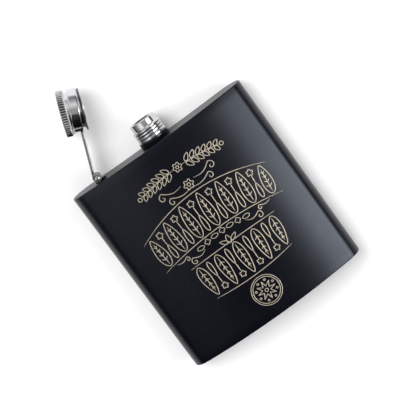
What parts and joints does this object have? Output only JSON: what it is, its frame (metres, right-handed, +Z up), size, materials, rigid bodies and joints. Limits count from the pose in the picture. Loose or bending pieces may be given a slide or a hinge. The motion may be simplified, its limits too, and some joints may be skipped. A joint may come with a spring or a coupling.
{
  "type": "hip flask",
  "caption": "Curved hip flask with a matte black body, bright threaded neck and a knurled screw cap held captive on a hinged arm.",
  "frame": {"origin": "centre of the base's underside", "axes": "+Z up through the neck, +X across the width away from the hinge, +Y through the depth; the convex decorated front faces -Y"},
  "size_m": [0.093, 0.0234, 0.1415],
  "materials": {
    "body_paint": "matte black powder coat",
    "gloss_paint": "gloss black",
    "polished_steel": "polished stainless steel",
    "turned_steel": "turned stainless steel",
    "pin_steel": "dull steel",
    "washer_plastic": "natural nylon",
    "liner_plastic": "black plastic",
    "seal_rubber": "black rubber"
  },
  "bodies": {
    "flask": {"body_wall": "body_paint", "top_plate": "body_paint", "bottom_plate": "body_paint", "neck_collar": "gloss_paint", "neck": "turned_steel", "hinge_bracket": "gloss_paint"},
    "pin": {"hinge_pin": "pin_steel", "pin_rear_head": "pin_steel"},
    "arm": {"arm_strap": "polished_steel", "cap_holder": "polished_steel"},
    "seat": {"slip_washer": "washer_plastic"},
    "cap": {"knob": "turned_steel", "cap_sleeve": "polished_steel", "rim_ring": "liner_plastic", "thread_liner": "liner_plastic", "gasket": "seal_rubber"}
  },
  "joints": [
    {"name": "arm_swing", "type": "hinge", "parent": "flask", "child": "pin", "pos_m": [-0.0315, -0.0007, 0.0989], "axis": [0, -1, 0], "range_deg": [-55, 100]},
    {"name": "arm_settle", "type": "hinge", "parent": "pin", "child": "arm", "pos_m": [-0.0315, -0.0007, 0.0989], "axis": [0, -1, 0], "range_deg": [-8, 0]},
    {"name": "cap_square", "type": "hinge", "parent": "arm", "child": "seat", "pos_m": [-0.02165, -0.0007, 0.12924], "axis": [0, -1, 0], "range_deg": [-6.3, 0]},
    {"name": "cap_screw", "type": "hinge", "parent": "seat", "child": "cap", "pos_m": [-0.02165, -0.0007, 0.12924], "axis": [-0.9354, 0, 0.3535], "range_deg": [-1116, 0]}
  ],
  "couplings": [
    {"joint": "arm_settle", "follows": "cap_screw", "ratio": 0.007168},
    {"joint": "cap_square", "follows": "cap_screw", "ratio": 0.005645}
  ]
}
